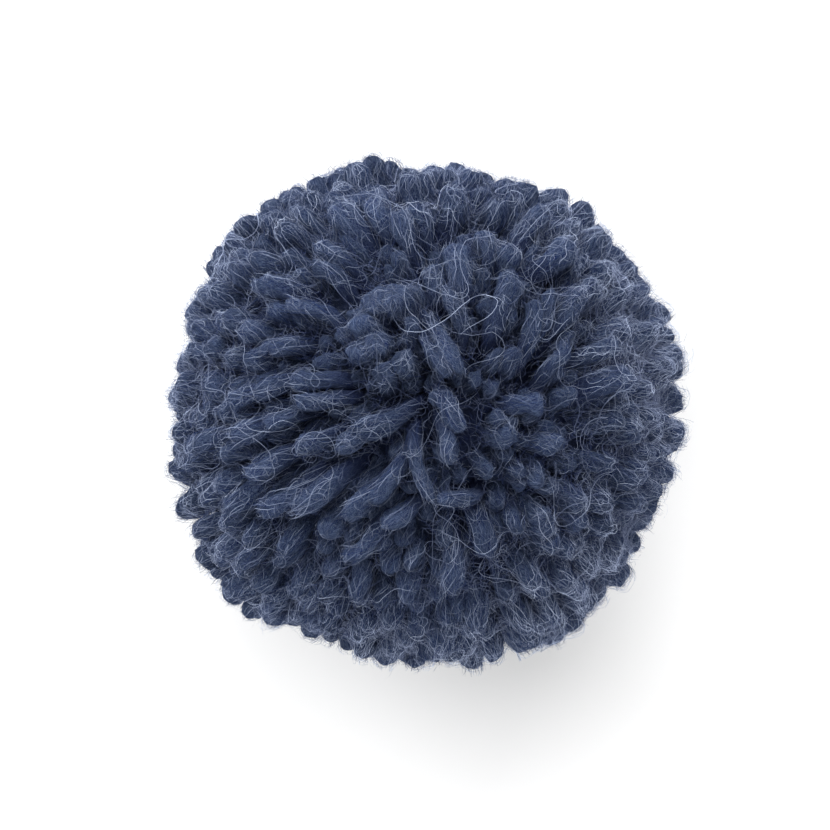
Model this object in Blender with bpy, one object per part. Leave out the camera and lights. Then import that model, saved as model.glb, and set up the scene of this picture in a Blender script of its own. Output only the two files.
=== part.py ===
"""A yarn pom pom: a ball of soft cut yarn ends, bound at the middle and trimmed round.

The ends stand in locks of about three. The locks grow out of the bound middle, fan away from
the two ends of the bundle, lean over one another with a slight twist, part here and
there, and stop at a trimmed ball. Under the ball they are shorter and end level, and
it rests on them.

Metres, +Z up. The origin lies on the resting surface, under the middle of the ball.
"""

import math
import random

import bmesh
import bpy
from mathutils import Matrix, Vector, noise

MM = 0.001
NAME = "yarn_locks"

# Driving dimensions of the ball.
TRIM_RADIUS = 49.4 * MM  # mean, from the middle of the ball to the cut ends
BOUND_RADIUS = 29.0 * MM  # where neighbouring locks run together
MIDDLE_HEIGHT = 45.8 * MM  # the middle of the ball above the resting surface
CELL_CORNERS = 258  # the locks stand between this many corners, spread over the ball
LOCK_WIDTH = 9.3 * MM  # across a lock that has room to open
LENGTH_SPREAD = 1.3 * MM  # a lock is up to this much longer or shorter

# The outline seen from above: the trim follows it at the widest part of the ball.
OUTLINE = (
    # bearing in degrees from +X towards +Y, radius in millimetres
    (0, 49.4), (15, 49.8), (30, 50.7), (45, 49.2), (60, 49.9), (75, 48.0),
    (90, 47.6), (105, 50.6), (120, 49.9), (135, 50.8), (150, 49.7), (165, 47.3),
    (180, 47.0), (195, 49.3), (210, 50.5), (225, 51.1), (240, 48.5), (255, 49.0),
    (270, 47.7), (285, 50.0), (300, 50.7), (315, 48.7), (330, 47.5), (345, 48.7),
)

# The fan: the bundle stands nearly upright, and its ends are swept away from its axis.
BUNDLE_TILT = 8.0  # degrees from +Z
BUNDLE_BEARING = 350.0  # degrees, the way in which the bundle tilts
TWIST = 20.0  # degrees, from straight away from the axis to the way the ends point
SWEPT = (
    # degrees from the bundle's axis, degrees from a lock's root to its tip
    (0, 0.0), (15, 8.5), (30, 15.0), (45, 16.5), (60, 12.0), (75, 6.0), (90, 1.5),
)
SWEPT_SHARE = (
    # bearing in degrees, share of the sweep that the locks on that side have
    (0, 0.6), (45, 1.0), (90, 1.0), (135, 1.0), (180, 1.05), (225, 1.1), (270, 0.7), (315, 0.25),
)
SWEEP_GROWTH = 1.5  # power of the height: above 1, a lock leaves its root upright

# Places where the locks part and the pile is open.
PARTINGS = (
    # bearing and degrees from +Z, half width of the gap's reach and push in millimetres
    (192, 7, 8.0, 2.6),
    (302, 17, 8.5, 3.0),
    (345, 39, 8.0, 2.6),
    (111, 35, 8.0, 2.6),
    (132, 30, 8.0, 2.6),
    (25, 18, 7.5, 2.2),
    (199, 38, 8.0, 2.4),
    (290, 42, 7.5, 2.6),
    (15, 65, 7.5, 2.4),
    (245, 86, 6.5, 2.0),
)
WAVE_LENGTH = 17.0 * MM  # of the pile's uneven lean
WAVE_SWAY = 2.3 * MM  # how far a tip is swayed by it
WAVE_PLACES = ((3.7, 1.2, 8.5), (15.1, 9.4, 2.6), (6.3, 21.8, 17.9))  # where its three parts are read

# A lock's rings, from its root to its tip.
RINGS = (
    # share of the lock's length, share of its cell's width
    (0.0, 0.78),
    (0.45, 0.85),
    (0.86, 0.88),
    (0.97, 0.70),
    (1.0, 0.36),
)
WIDEST_RING = 0.88  # the largest of those shares
RESTING_TIP = 0.76  # the share for a tip that ends level on the surface

GOLDEN_ANGLE = 137.508  # degrees between neighbours on an even spiral
SPREAD_SEED = 11
SPREAD_JITTER = 0.30  # of the distance between neighbouring corners
EVENED = 0.5  # share of the way that a corner moves to the middle of its neighbours
TRIANGLE_ROUNDS = 1  # of evening out before the triangles are joined to cells
CELL_ROUNDS = 3  # of evening out after that
CELL_INSET = 0.01  # on a ball of radius 1, from a cell's edge to the root of its lock
PARTING_END = 3.5  # reaches from a parting's middle past which it pushes no more
TINY = 1e-6  # a length on a ball of radius 1 that has no direction
YARN_COLOUR = (0.105, 0.130, 0.210, 1.0)
YARN_ROUGHNESS = 0.95


def direction(bearing, from_axis):
    """The unit vector at a bearing, in degrees, and an angle from +Z."""
    turn, fall = math.radians(bearing), math.radians(from_axis)
    return Vector((math.cos(turn) * math.sin(fall), math.sin(turn) * math.sin(fall), math.cos(fall)))


def read_row(rows, value):
    """A column of (position, number) rows, read smoothly between them."""
    for (before, low), (after, high) in zip(rows, rows[1:]):
        if value <= after:
            share = max(0.0, (value - before) / (after - before))
            return low + (high - low) * share * share * (3 - 2 * share)
    return rows[-1][1]


def read_round(rows, bearing):
    """The same for rows that go once round."""
    return read_row(rows + ((rows[0][0] + 360, rows[0][1]),), bearing % 360)


BUNDLE_AXIS = direction(BUNDLE_BEARING, BUNDLE_TILT)


def bearing_of(way):
    return math.degrees(math.atan2(way.y, way.x))


def sweep(way):
    """How far, as a vector across the ball, a tip at this place has been swept from its root."""
    end = BUNDLE_AXIS if way.dot(BUNDLE_AXIS) >= 0 else -BUNDLE_AXIS
    away = way * way.dot(end) - end
    if away.length < TINY:
        return Vector()
    from_end = math.degrees(math.acos(min(1.0, way.dot(end))))
    length = math.radians(read_row(SWEPT, from_end)) * read_round(SWEPT_SHARE, bearing_of(way))
    return Matrix.Rotation(math.radians(TWIST), 3, way) @ away.normalized() * length


def sway(way):
    """The uneven lean of the pile: a smooth wave across the ball."""
    waves = way * (TRIM_RADIUS / WAVE_LENGTH)
    wave = Vector([noise.noise(waves + Vector(place)) for place in WAVE_PLACES])
    across = wave - way * wave.dot(way)
    return across * (WAVE_SWAY / TRIM_RADIUS)


def parted(way, partings):
    """The push of the partings on a tip at this place."""
    push = Vector()
    for centre, reach, strength in partings:
        apart = way - centre
        share = apart.length / reach
        if 0 < share < PARTING_END:
            push += apart.normalized() * strength * share * math.exp(0.5 * (1 - share * share))
    return push


def combed(way, height, partings):
    """Where a lock that ends at way has got to at this share of its height."""
    bent = way - sweep(way) * (1 - min(1.0, height) ** SWEEP_GROWTH)
    moved = bent + (sway(way) + parted(way, partings)) * height
    return moved.normalized()


def trimmed_radius(way):
    """From the middle to the cut ends, in this direction: the trimmed ball, or the resting surface."""
    level = math.hypot(way.x, way.y)
    outline = read_round(OUTLINE, bearing_of(way)) * MM
    radius = TRIM_RADIUS + (outline - TRIM_RADIUS) * level * level
    if way.z < 0:
        radius = min(radius, MIDDLE_HEIGHT / -way.z)
    return radius


def rests(way):
    """Whether an end in this direction stops at the resting surface."""
    return way.z < 0 and trimmed_radius(way) >= MIDDLE_HEIGHT / -way.z


def point(way, height, partings):
    """The point of the pile over way, at a share of the height from the bound middle to the trim."""
    at = combed(way, height, partings)
    radius = BOUND_RADIUS + (trimmed_radius(at) - BOUND_RADIUS) * height
    return at * radius + Vector((0, 0, MIDDLE_HEIGHT))


def relax(mesh, rounds):
    """Evens out the cells of a ball of radius 1."""
    for _ in range(rounds):
        bmesh.ops.smooth_vert(
            mesh, verts=mesh.verts, factor=EVENED, use_axis_x=True, use_axis_y=True, use_axis_z=True
        )
        for corner in mesh.verts:
            corner.co.normalize()


def hull_triangles(ways):
    """The triangles between directions, each as the numbers of its corners, in a settled order."""
    hull = bmesh.new()
    numbers = {hull.verts.new(way): number for number, way in enumerate(ways)}
    bmesh.ops.convex_hull(hull, input=hull.verts)
    triangles = []
    for face in hull.faces:
        corners = [numbers[corner] for corner in face.verts]
        first = corners.index(min(corners))
        triangles.append(corners[first:] + corners[:first])
    hull.free()
    return sorted(triangles)


def spread_cells(mesh, chance):
    """A ball of radius 1 with one three- or four-sided cell for each lock, unevenly spread."""
    pitch = math.sqrt(4 * math.pi / CELL_CORNERS)
    ways = []
    for number in range(CELL_CORNERS):
        from_top = math.degrees(math.acos(1 - 2 * (number + 0.5) / CELL_CORNERS))
        jitter = Vector([chance.uniform(-1, 1) for _ in range(3)])
        way = direction(number * GOLDEN_ANGLE, from_top) + jitter * pitch * SPREAD_JITTER
        ways.append(way.normalized())
    corners = [mesh.verts.new(way) for way in ways]
    for triangle in hull_triangles(ways):
        mesh.faces.new([corners[number] for number in triangle])
    relax(mesh, TRIANGLE_ROUNDS)
    bmesh.ops.join_triangles(
        mesh, faces=mesh.faces, angle_face_threshold=math.pi, angle_shape_threshold=math.pi
    )
    relax(mesh, CELL_ROUNDS)


def placed_partings(mesh):
    """The partings, each moved to the nearest corner where four locks meet."""
    placed = []
    for bearing, from_top, reach, push in PARTINGS:
        wanted = direction(bearing, from_top)
        nearest = min(mesh.verts, key=lambda corner: (corner.co - wanted).length)
        placed.append((nearest.co.copy(), reach * MM / TRIM_RADIUS, push * MM / TRIM_RADIUS))
    return placed


def ring(middle, corners, share, height, partings):
    """The corners of one ring of a lock, held to the lock's own width where its cell is wider."""
    ways = [middle.lerp(corner, share).normalized() for corner in corners]
    centre = point(middle, height, partings)
    points = [point(way, height, partings) for way in ways]
    half_diagonal = sum((p - centre).length for p in points) / len(points)
    widest = LOCK_WIDTH * share / WIDEST_RING * math.sqrt(0.5)
    kept = min(1.0, widest / half_diagonal)
    return [centre.lerp(p, kept) for p in points]


def raise_lock(mesh, cell, extra, partings):
    """Insets a cell and draws it out to a lock, ring by ring. Where the ball rests, it ends level."""
    corners = [corner.co.copy() for corner in cell.verts]
    middle = sum(corners, Vector()).normalized()
    on_surface = rests(combed(middle, 1.0, partings))
    bmesh.ops.inset_individual(mesh, faces=[cell], thickness=CELL_INSET)
    top = cell
    for number, (height, share) in enumerate(RINGS):
        if number:
            top = bmesh.ops.extrude_discrete_faces(mesh, faces=[top])["faces"][0]
        if on_surface:
            places = ring(middle, corners, max(share, RESTING_TIP), height, partings)
        else:
            places = ring(middle, corners, share, height * (1 + extra), partings)
        level = on_surface and height == 1.0
        for corner, place in zip(top.verts, places):
            corner.co = place
            corner.co.z = 0.0 if level else max(0.0, place.z)


def yarn_material():
    material = bpy.data.materials.new("blue_yarn")
    material.use_nodes = True
    shader = material.node_tree.nodes["Principled BSDF"]
    shader.inputs["Base Color"].default_value = YARN_COLOUR
    shader.inputs["Roughness"].default_value = YARN_ROUGHNESS
    shader.inputs["Metallic"].default_value = 0.0
    return material


def settle_on_origin(mesh):
    """Moves the ball so that the middle of its box stands over the origin."""
    for axis in (0, 1):
        reach = [corner.co[axis] for corner in mesh.verts]
        shift = (min(reach) + max(reach)) / 2
        for corner in mesh.verts:
            corner.co[axis] -= shift


def make_pompom(collection):
    chance = random.Random(SPREAD_SEED)
    mesh = bmesh.new()
    spread_cells(mesh, chance)
    partings = placed_partings(mesh)
    mesh.verts.index_update()
    cells = sorted(mesh.faces, key=lambda cell: sorted(corner.index for corner in cell.verts))
    bound_corners = [(corner, corner.co.copy()) for corner in mesh.verts]
    for cell in cells:
        extra = chance.uniform(-1, 1) * LENGTH_SPREAD / (TRIM_RADIUS - BOUND_RADIUS)
        raise_lock(mesh, cell, extra, partings)
    for corner, way in bound_corners:
        corner.co = point(way, 0.0, partings)
    settle_on_origin(mesh)
    data = bpy.data.meshes.new(NAME)
    mesh.to_mesh(data)
    mesh.free()
    data.materials.append(yarn_material())
    data.shade_smooth()
    pompom = bpy.data.objects.new(NAME, data)
    collection.objects.link(pompom)
    return pompom


def main():
    for leftover in list(bpy.data.objects):
        bpy.data.objects.remove(leftover)
    collection = bpy.data.collections.new("yarn_pom_pom")
    bpy.context.scene.collection.children.link(collection)
    make_pompom(collection)


main()
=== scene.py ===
"""A pom pom of brushed, bulky navy yarn, seen from above on a pale floor.

The ball is dressed as it is made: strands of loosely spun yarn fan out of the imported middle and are
trimmed round, fine fibres run along each strand and leave it at its brushed surface, fuzz and matted
fibre lie over the pile, and long stray hairs loop across it.
"""

import functools
import math
from typing import NamedTuple
import bmesh
import bpy
import numpy as np
from bpy.props import FloatProperty, FloatVectorProperty, IntProperty, PointerProperty
from bpy.types import Operator, Panel, PropertyGroup
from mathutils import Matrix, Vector, noise


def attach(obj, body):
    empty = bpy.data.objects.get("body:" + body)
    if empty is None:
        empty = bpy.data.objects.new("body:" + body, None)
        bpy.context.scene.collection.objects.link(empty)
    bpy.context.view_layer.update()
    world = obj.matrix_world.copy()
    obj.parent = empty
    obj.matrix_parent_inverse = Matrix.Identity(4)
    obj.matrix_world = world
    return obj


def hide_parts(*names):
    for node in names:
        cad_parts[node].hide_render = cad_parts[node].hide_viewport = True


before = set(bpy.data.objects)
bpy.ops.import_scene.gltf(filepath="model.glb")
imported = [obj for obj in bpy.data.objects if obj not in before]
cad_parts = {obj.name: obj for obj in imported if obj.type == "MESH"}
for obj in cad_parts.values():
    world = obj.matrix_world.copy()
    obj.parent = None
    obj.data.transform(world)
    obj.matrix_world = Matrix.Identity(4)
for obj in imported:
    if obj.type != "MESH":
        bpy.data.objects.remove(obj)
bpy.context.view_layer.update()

bl_info = {
    "name": "Yarn Pom Pom",
    "version": (1, 0, 0),
    "blender": (4, 5, 0),
    "location": "View3D > Sidebar > Pom Pom",
    "description": "Builds a pom pom of brushed bulky yarn with its strands, fibres, fuzz and stray hairs",
    "category": "Add Mesh",
}

MM = 0.001
BODY = "root"
NODE = "yarn_locks"

# The photograph's frame, in its own pixels.
FRAME_WIDTH_PX = 830
BALL_CENTRE_PX = (424.5, 414.0)
PX = 0.1926 * MM  # one pixel at the middle of the ball

# The ball.
MIDDLE = np.array((0.0, 0.0, 45.8 * MM))  # where the yarn is bound
TRIM_RADIUS = 49.6 * MM
ROOT_RADIUS = 15.0 * MM  # where a strand starts, hidden among its neighbours
GATHERED_RADIUS = 40.4 * MM  # within this the yarn is packed too tight to see into
GATHERED_RELIEF = 1.6 * MM  # how uneven that is
GATHERED_LUMP = 6.0  # millimetres across one of its lumps

OUTLINE = (
    # bearing in degrees from +X towards +Y, radius of the trimmed outline in millimetres
    (0, 49.5), (15, 49.9), (30, 51.0), (45, 49.9), (60, 50.6), (75, 48.7),
    (90, 47.7), (105, 50.6), (120, 50.6), (135, 51.5), (150, 50.4), (165, 48.4),
    (180, 48.2), (195, 50.4), (210, 51.2), (225, 51.8), (240, 49.2), (255, 48.6),
    (270, 47.4), (285, 49.7), (300, 51.4), (315, 49.4), (330, 48.1), (345, 49.3),
)

# The fan: the ends are swept away from the two ends of the bundle.
BUNDLE_TILT = 19.0  # degrees from +Z
BUNDLE_BEARING = 341.0
TWIST = (
    # bearing in degrees, degrees from straight away from the axis to the way the ends are swept
    (0, 8), (45, 5), (90, 12), (135, 38), (180, 42), (225, 38), (270, 22), (315, 8),
)
SWEEP_GROWTH = 1.5  # how late along a strand its sweep is done
OWN_LEAN = (
    # degrees from the bundle's axis, radians by which neighbouring strands lean differently
    (0, 0.20), (15, 0.18), (35, 0.10), (60, 0.08),
)
BURIED = (1.5, 4.5)  # millimetres between the trim and a tip that stays under the surface
SWEPT = (
    # degrees from the bundle's axis, degrees from a strand's root to its tip
    (0, 0.0), (10, 8.0), (20, 21.0), (30, 33.0), (45, 39.0), (60, 33.0), (75, 19.0), (90, 4.0),
)
SWEPT_SHARE = (
    # bearing in degrees, share of the sweep on that side
    (0, 0.7), (45, 0.9), (90, 1.0), (135, 1.0), (180, 1.05), (225, 1.1), (270, 0.85), (315, 0.55),
)
SURFACING = (
    # degrees from the bundle's axis, share of the strands that reach the trim where the sweep is full
    (0, 1.0), (10, 0.90), (20, 0.66), (32, 0.56), (45, 0.64), (60, 0.90), (70, 1.0),
)
MOUNDS = (
    # bearing and degrees from +Z, reach and rise in millimetres
    (108, 23, 6.5, 2.5),
    (185, 22, 6.0, 1.5),
    (60, 32, 6.0, 1.5),
)
PARTINGS = (
    # bearing and degrees from +Z, reach and push in millimetres
    (192, 7, 8.0, 2.8),
    (302, 17, 8.5, 3.2),
    (345, 39, 8.0, 2.8),
    (111, 35, 8.0, 1.4),
    (132, 30, 8.0, 2.8),
    (25, 18, 7.5, 2.4),
    (199, 38, 8.0, 2.6),
    (290, 42, 7.5, 2.6),
    (15, 65, 7.5, 2.4),
    (245, 86, 6.5, 3.0),
)
FELT = (
    # where pale, wavy fibre is matted: bearing and degrees from +Z, reach in millimetres, and how
    # dense it is
    (12, 70, 15, 1.0), (32, 62, 10, 1.0), (50, 68, 9, 0.6), (352, 78, 10, 0.7), (314, 66, 13, 1.0),
    (298, 58, 9, 0.6), (328, 80, 10, 0.7), (282, 76, 12, 0.7), (258, 72, 12, 0.8), (238, 78, 10, 0.5),
    (336, 44, 8, 0.30), (320, 50, 8, 0.30), (302, 44, 7, 0.30), (95, 68, 15, 0.20), (120, 60, 11, 0.10),
    (148, 80, 13, 0.35), (175, 82, 14, 0.35), (205, 76, 14, 0.25),
)
LAID = (
    # strands that lie over their neighbours: the tip, and where it comes up between them, each
    # across and up from the middle of the ball as seen from above, and the width, in millimetres
    (6.9, 7.2, -1.5, 22.2, 3.8), (4.4, 6.1, -2.4, 16.7, 3.8), (7.8, -3.0, 2.4, 5.9, 3.9),
    (-5.9, 21.3, -4.4, 18.4, 6.2), (-9.5, 20.6, -7.3, 17.6, 5.6), (-12.4, 17.7, -9.8, 15.1, 5.8),
    (-8.9, 14.0, -6.6, 11.8, 6.0), (-4.6, 10.4, -3.0, 8.6, 5.6), (-8.5, 7.5, -5.8, 6.1, 5.0),
    (-13.0, 12.4, -10.1, 10.8, 5.4), (-2.6, 16.5, -2.2, 14.0, 3.9), (-13.7, -4.1, -0.8, 3.2, 4.6),
    (-16.5, -6.8, -7.1, 0.4, 3.8), (2.2, -16.7, -2.2, -0.7, 3.5), (5.8, -9.3, 3.3, 0.4, 4.1),
    (-10.2, -16.0, -3.0, -6.1, 4.1), (-15.3, -19.5, -5.8, -11.5, 4.1), (-24.1, -17.4, -13.0, -8.6, 4.4),
    (3.0, -16.0, 11.4, -15.1, 3.2), (11.7, -26.1, 8.9, -17.6, 4.4), (4.7, -32.8, 6.0, -22.8, 4.1),
    (-7.3, -20.6, -0.8, -16.0, 3.8), (21.7, 2.2, 14.5, 1.1, 4.1), (15.7, -4.7, 14.5, -4.0, 5.1),
    (25.2, -6.0, 19.4, -5.8, 4.1), (11.8, -10.8, 10.7, -8.6, 3.5), (22.3, -12.5, 20.5, -8.7, 3.8),
    (9.1, 7.2, 8.2, 4.7, 3.2), (5.4, 31.4, 6.8, 19.0, 4.6), (3.3, 23.7, 6.9, 11.5, 3.5),
    (0.6, 27.9, 2.4, 20.5, 3.8), (14.1, 25.8, 12.1, 12.4, 4.4), (18.4, 20.7, 18.7, 9.7, 3.8),
    (27.9, 22.5, 22.7, 12.5, 3.8), (25.1, 14.3, 22.3, 4.7, 3.5), (21.9, 22.6, 19.0, 11.5, 3.8),
    (35.6, 13.2, 26.8, 8.7, 4.1), (38.0, 5.6, 30.0, 4.6, 5.0), (-26.2, 19.9, -14.9, 16.6, 3.5),
    (-31.8, 23.2, -21.2, 22.6, 3.8), (-20.5, 26.3, -13.5, 22.8, 3.8), (-29.2, 11.3, -22.6, 14.9, 4.1),
    (-24.9, 4.7, -14.3, 6.5, 4.1), (-23.9, 2.2, -13.4, 2.9, 3.8), (-31.4, 4.0, -24.3, 6.9, 3.8),
    (-36.8, 1.1, -30.8, 4.7, 3.8), (-35.6, -4.8, -28.4, -0.2, 4.1), (-29.1, -2.0, -22.1, 1.6, 4.1),
    (-22.1, -7.4, -15.5, -2.5, 4.1), (-33.2, -10.6, -24.3, -5.8, 4.1),
    (-29.7, -17.9, -19.8, -10.5, 4.1), (-43.3, -7.6, -36.4, -3.3, 4.4),
    (-15.0, -26.5, -8.4, -19.1, 4.1), (-5.1, 37.2, -2.1, 29.5, 4.0), (16.3, 30.7, 15.0, 27.6, 4.6),
    (27.0, 31.4, 20.5, 27.0, 5.2), (31.6, 23.6, 28.2, 21.0, 3.2), (-17.0, 37.0, -10.0, 33.0, 4.8),
    (-19.6, 31.5, -13.5, 27.0, 4.4), (-9.1, 39.4, -4.9, 34.6, 4.2), (-2.3, 38.5, 1.0, 33.6, 4.6),
    (5.8, 42.0, 4.7, 36.0, 5.2), (11.1, 32.9, 12.2, 27.0, 3.8), (22.5, 37.0, 18.8, 31.8, 4.4),
)
# Along such a strand: where it lies between its start and its tip, and its share of the full radius.
LAID_OVER = ((0.0, -0.20), (0.5, -0.10), (0.625, 0.08), (0.75, 0.38), (0.875, 0.70), (1.0, 1.0))
LAID_RISE = (
    (0.0, 0.0), (0.25, 0.40), (0.5, 0.78), (0.625, 0.93), (0.75, 1.0), (0.875, 1.01), (1.0, 0.99),
)
LYING_LENGTH = 8.0 * MM  # from where it comes up to its tip, in a strand that lies down fully
OPENINGS = (
    # where the pile is open: across and up from the middle as seen from above, and reach, in millimetres
    (-5.8, -2.0, 3.2), (5.8, -12.0, 3.0), (4.0, -18.5, 2.6), (-11.3, 24.8, 2.2), (-17.1, 15.5, 2.2),
    (15.7, -24.7, 2.0), (29.0, -8.4, 2.4), (25.5, -9.2, 2.0), (9.7, -30.2, 2.2), (1.0, -26.4, 2.4),
    (-24.0, -7.8, 2.4), (42.6, 11.4, 2.4), (-10.7, -17.5, 1.6), (-9.8, -6.5, 2.4),
)
SWAYS = (
    # wave length of the uneven lean and how far a tip is swayed by it, in millimetres
    (15.0, 2.4),
    (8.0, 1.5),
)
CLUMP = 14.0  # millimetres over which neighbouring strands share a lighter or a darker tone
WAVE_PLACES = ((3.7, 1.2, 8.5), (15.1, 9.4, 2.6), (6.3, 21.8, 17.9))  # where its three parts are read

THICKNESS = (
    # share of a strand's length, share of its full half thickness
    (0.0, 0.52), (0.3, 0.68), (0.6, 0.88), (0.8, 0.99), (0.90, 1.02), (0.96, 0.92), (1.0, 0.70),
)
STATIONS = (0.0, 0.22, 0.41, 0.57, 0.70, 0.80, 0.885, 0.925, 0.952, 0.967, 0.972, 1.0)
CLOSED_FROM, CLOSED_AT = 0.885, 0.972  # shares of a strand's length between which its body closes
RIM_FLARE = 0.38  # how much thicker the brushed ends are round the rim
PACKED_SHARE = 0.88  # of a strand's thickness, inside its hazy coat
CONTROLS = 9  # points along a strand's path
TUBE_SIDES = 9
FLOOR_CLEARANCE = 0.1 * MM

# How the strands lie.
GOLDEN_ANGLE = math.radians(137.508)
SPREAD = 0.45  # how unevenly the tips stand, as a share of the room between two
TRIM_LIMIT = 1.6  # the furthest an end is off the trim, as a multiple of the trim's unevenness
SWEEP_RANGE = (0.65, 1.3)  # shares of the sweep, from strand to strand
BULK_RANGE = (0.84, 1.12)  # shares of the yarn's thickness, from strand to strand
OPENING_DEPTH = 9.0 * MM
COVERED_DEPTH = 2.2 * MM  # how much lower a strand ends under one that lies over it
COVERED_MARGIN = 1.6 * MM
LAID_PROUD, LAID_SUNK, LAID_UNEVEN = 0.5, 0.9, 0.6  # millimetres out of the trim, in it, and either way
LAID_BOW = 0.10  # how far such a strand bows sideways, as a share of its length
LAID_FREEDOM = 0.12  # how far it gives way when pushed, where another strand gives 1
TOUCHING = 0.80  # share of two half thicknesses at which strands begin to push
PUSHED_BY = 30  # neighbours
PUSH_ROUNDS = 24
PUSH_STEP = 0.22
KINK = 0.5 * MM
TINT_OWN, TINT_BASE, TINT_CLUMPS = 0.32, 0.34, 0.95  # what a strand's tone is made of

# How the fibres lie. Where they start and how long they are is in shares of a strand's length.
STRAND_APART = 57.0  # how far apart the grain of a strand is read for tones that are 1 apart
FIBRE_APART = 9.0  # how far apart the crimp of a fibre is read for turns that are a radian apart
CRIMP_FINENESS = 480.0
FEWER_BELOW = 32  # fibres that a strand on the lower half does without
FIBRES_ALONG = {
    "Points": 5,
    "Deepest Start": 0.34,
    "Highest Start": 0.88,
    "Shortest": 0.11,
    "Longest": 0.24,
    "Inside": 0.30,
    "Crimp": 1.5 * MM,
    "Lift": 0.9 * MM,
}
FIBRES_AT_TIPS = {
    "Points": 4,
    "Deepest Start": 0.80,
    "Highest Start": 0.91,
    "Shortest": 0.08,
    "Longest": 0.18,
    "Inside": 1.0,
    "Crimp": 1.6 * MM,
    "Lift": 1.1 * MM,
}

# How the loose hairs lie.
HAIRS_FALL_FROM = TRIM_RADIUS + 8 * MM
HAIRS_REACH_DOWN = 13 * MM
LOWEST_HAIR = -0.8  # how far down the ball a loose hair starts


class Lie(NamedTuple):
    """How one kind of loose hair lies on the pile."""

    points: int  # along a hair
    step: float  # millimetres from one to the next
    along_pile: float  # share of the hairs that set out along the pile
    bend: float  # steady bend, in radians a millimetre
    curl: float  # swinging bend, in radians a millimetre
    rate: float  # how fast it swings, in radians a point
    clearance: float  # millimetres above the pile
    tautness: int  # how straight a hair is pulled over the gaps
    width: float = 1.0  # share of the full width


SHORT_FUZZ = Lie(5, 0.62, 0.8, 0.35, 0.75, 0.55, 0.6, 3, 0.85)
CURLED_FUZZ = Lie(9, 0.62, 0.7, 0.35, 0.75, 0.55, 0.6, 3, 0.9)
MATTED = Lie(13, 0.42, 0.0, 0.4, 1.2, 0.75, 1.2, 3, 0.75)
LOOSE_CURL = Lie(24, 0.55, 0.3, 0.18, 0.60, 0.42, 0.9, 3)
STRAY_HAIR = Lie(34, 0.85, 0.3, 0.06, 0.34, 0.26, 1.4, 6)

SOFTBOXES = (
    # name, bearing and degrees from +Z, distance and size in metres, share of the plain power
    ("top", 105, 27, 1.4, 1.1, 1.85),
    ("left", 150, 64, 1.1, 0.7, 1.95),
    ("back", 80, 64, 1.1, 0.7, 2.2),
    ("right", 330, 64, 1.1, 0.7, 0.85),
    ("front", 240, 64, 1.1, 0.7, 1.05),
)


def row_values(rows, values, period=None):
    """A table's second column, read between its rows."""
    places, numbers = zip(*rows)
    return np.interp(values, places, numbers, period=period)


def unit(vectors):
    return vectors / np.maximum(np.linalg.norm(vectors, axis=-1, keepdims=True), 1e-9)


def direction(bearing, from_top):
    """The unit vector at a bearing and an angle from +Z, in degrees."""
    turn, fall = math.radians(bearing), math.radians(from_top)
    return np.array((math.cos(turn) * math.sin(fall), math.sin(turn) * math.sin(fall), math.cos(fall)))


def bearings(ways):
    return np.degrees(np.arctan2(ways[..., 1], ways[..., 0]))


BUNDLE_AXIS = direction(BUNDLE_BEARING, BUNDLE_TILT)


def from_bundle_end(ways):
    """Degrees from the nearer end of the bundle."""
    return np.degrees(np.arccos(np.clip(np.abs(ways @ BUNDLE_AXIS), 0.0, 1.0)))


def sweep(ways):
    """How far the tips have been swept across the ball from their roots."""
    along = ways @ BUNDLE_AXIS
    ends = np.sign(along)[:, None] * BUNDLE_AXIS
    away = unit(ways * np.abs(along)[:, None] - ends)
    twist = np.radians(row_values(TWIST, bearings(ways), 360))[:, None]
    turned = away * np.cos(twist) + np.cross(ways, away) * np.sin(twist)
    reach = np.radians(row_values(SWEPT, from_bundle_end(ways)))
    return turned * (reach * row_values(SWEPT_SHARE, bearings(ways), 360))[:, None]


def wave_at(place):
    """A smooth random vector that is the same in each run."""
    return [noise.noise(Vector(place) + Vector(apart)) for apart in WAVE_PLACES]


def waves_over(ways, radius, length):
    """Smooth random vectors over a ball, with waves of a length in millimetres."""
    return np.array([wave_at(way * (radius / MM / length)) for way in ways])


def sway(ways):
    """The uneven lean of the pile."""
    lean = np.zeros_like(ways)
    for length, reach in SWAYS:
        waves = waves_over(ways, TRIM_RADIUS, length)
        across = waves - ways * np.sum(waves * ways, axis=1)[:, None]
        lean += across * (reach * MM / TRIM_RADIUS)
    return lean


def reaches_off(ways, centre, reach):
    """How far directions lie from a centre on the trimmed ball, as a multiple of a reach in millimetres."""
    return np.linalg.norm(ways - centre, axis=-1) * TRIM_RADIUS / (reach * MM)


def swell(ways, bearing, from_top, reach):
    """1 at a place on the ball, falling off smoothly round it."""
    apart = reaches_off(ways, direction(bearing, from_top), reach)
    return np.exp(-apart * apart)


def parted(ways):
    """The push of the partings."""
    push = np.zeros_like(ways)
    for bearing, from_top, reach, strength in PARTINGS:
        centre = direction(bearing, from_top)
        share = reaches_off(ways, centre, reach)
        amount = strength * MM / TRIM_RADIUS * share * np.exp(0.5 * (1 - share * share))
        push += unit(ways - centre) * amount[:, None]
    return push


def trimmed_radius(ways):
    """From the middle to the cut ends: the trimmed ball, or the floor under it."""
    level = np.hypot(ways[..., 0], ways[..., 1])
    outline = row_values(OUTLINE, bearings(ways), 360) * MM
    radius = TRIM_RADIUS + (outline - TRIM_RADIUS) * level * level
    for bearing, from_top, reach, rise in MOUNDS:
        radius = radius + rise * MM * swell(ways, bearing, from_top, reach)
    to_floor = MIDDLE[2] / np.maximum(-ways[..., 2], 1e-3)
    return np.minimum(radius, to_floor)


def seen_from_above(across, up):
    """The direction of a place on the upper half of the ball, from its place in a plan, in millimetres."""
    level = np.stack((across, up), axis=-1) * MM / TRIM_RADIUS
    rise = np.sqrt(1 - np.sum(level * level, axis=-1))
    return np.concatenate((level, rise[..., None]), axis=-1)


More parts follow.
